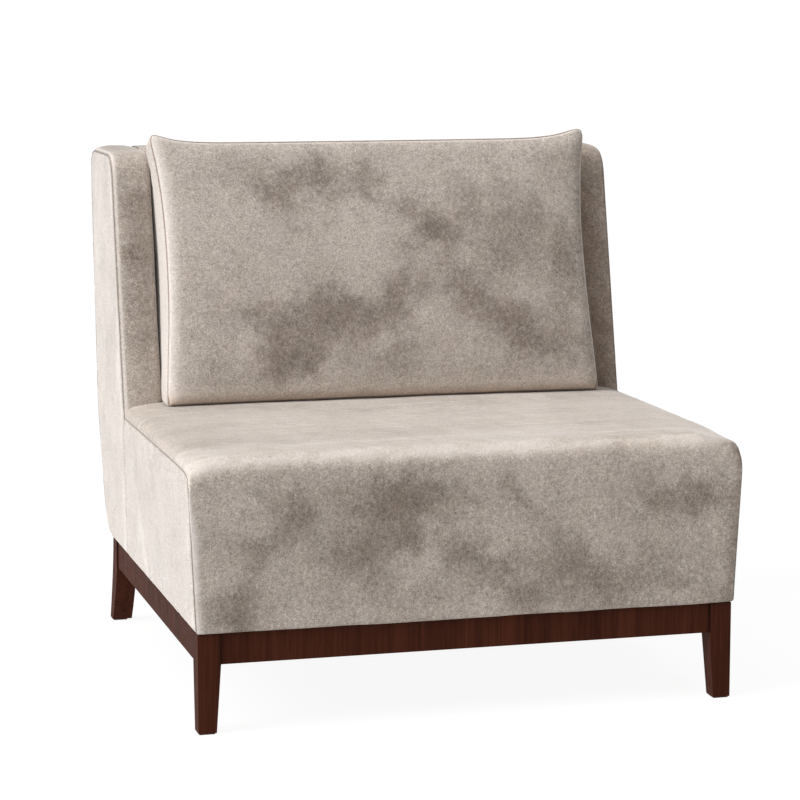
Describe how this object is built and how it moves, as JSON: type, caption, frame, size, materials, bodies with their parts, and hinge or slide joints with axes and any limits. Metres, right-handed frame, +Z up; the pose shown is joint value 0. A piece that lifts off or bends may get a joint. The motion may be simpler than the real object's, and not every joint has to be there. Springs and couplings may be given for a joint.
{
  "type": "slipper chair",
  "caption": "Armless upholstered lounge chair with a low wrap-around back, short wings, a thick tight seat, one loose boxed back cushion and an exposed dark wood base on tapered legs.",
  "frame": {"origin": "on the floor, at the middle of the rectangle that the chair covers", "axes": "+Z up, +X to the right of someone who looks at the front of the chair, and the chair faces -Y"},
  "size_m": [0.9268, 0.932, 0.9175],
  "materials": {
    "espresso_wood": "satin",
    "velvet": "matte",
    "frame_wood": "matte",
    "plywood": "matte",
    "foam": "matte",
    "fibre_fill": "matte",
    "wadding": "matte",
    "felt": "matte",
    "dust_cloth": "matte",
    "webbing": "matte",
    "zip_tape_cloth": "matte",
    "spring_steel": "satin",
    "bolt_steel": "satin",
    "zip_metal": "satin",
    "glide_plastic": "matte"
  },
  "bodies": {
    "frame": {"leg_front_left": "espresso_wood", "glide_front_left": "glide_plastic", "corner_block_front_left": "frame_wood", "leg_bolt_front_left": "bolt_steel", "leg_front_right": "espresso_wood", "glide_front_right": "glide_plastic", "corner_block_front_right": "frame_wood", "leg_bolt_front_right": "bolt_steel", "base_rail_front": "espresso_wood", "leg_rear_left": "espresso_wood", "glide_rear_left": "glide_plastic", "corner_block_rear_left": "frame_wood", "leg_bolt_rear_left": "bolt_steel", "leg_rear_right": "espresso_wood", "glide_rear_right": "glide_plastic", "corner_block_rear_right": "frame_wood", "leg_bolt_rear_right": "bolt_steel", "base_rail_rear": "espresso_wood", "base_rail_left": "espresso_wood", "base_rail_right": "espresso_wood", "seat_board_left": "frame_wood", "seat_board_right": "frame_wood", "seat_board_front": "frame_wood", "seat_board_rear": "frame_wood", "dust_cover": "dust_cloth", "seat_spring_1": "spring_steel", "seat_spring_2": "spring_steel", "seat_spring_3": "spring_steel", "seat_spring_4": "spring_steel", "seat_spring_5": "spring_steel", "seat_insulator": "felt", "seat_foam": "foam", "seat_front_pad": "wadding", "seat_cover": "velvet", "seat_side_pad_left": "wadding", "seat_side_cover_left": "velvet", "seat_side_pad_right": "wadding", "seat_side_cover_right": "velvet", "wing_panel_left": "plywood", "side_pad_left": "wadding", "wing_foam_left": "foam", "wing_cover_left": "velvet", "back_side_cover_left": "velvet", "wing_panel_right": "plywood", "side_pad_right": "wadding", "wing_foam_right": "foam", "wing_cover_right": "velvet", "back_side_cover_right": "velvet", "back_rail_top": "frame_wood", "back_rail_bottom": "frame_wood", "back_web_1": "webbing", "back_web_2": "webbing", "back_web_3": "webbing", "inside_back_foam": "foam", "inside_back_cover": "velvet", "outside_back_cover": "velvet"},
    "back_cushion": {"cushion_cover": "velvet", "cushion_insert": "fibre_fill", "zip_tape": "zip_tape_cloth"},
    "zip_slider": {"zip_slider": "zip_metal"}
  },
  "joints": [
    {"name": "cushion_lift", "type": "slide", "parent": "frame", "child": "back_cushion", "axis": [0, 0, 1], "range_m": [0, 0.5]},
    {"name": "zip_travel", "type": "slide", "parent": "back_cushion", "child": "zip_slider", "axis": [1, 0, 0], "range_m": [-0.548, 0]}
  ]
}
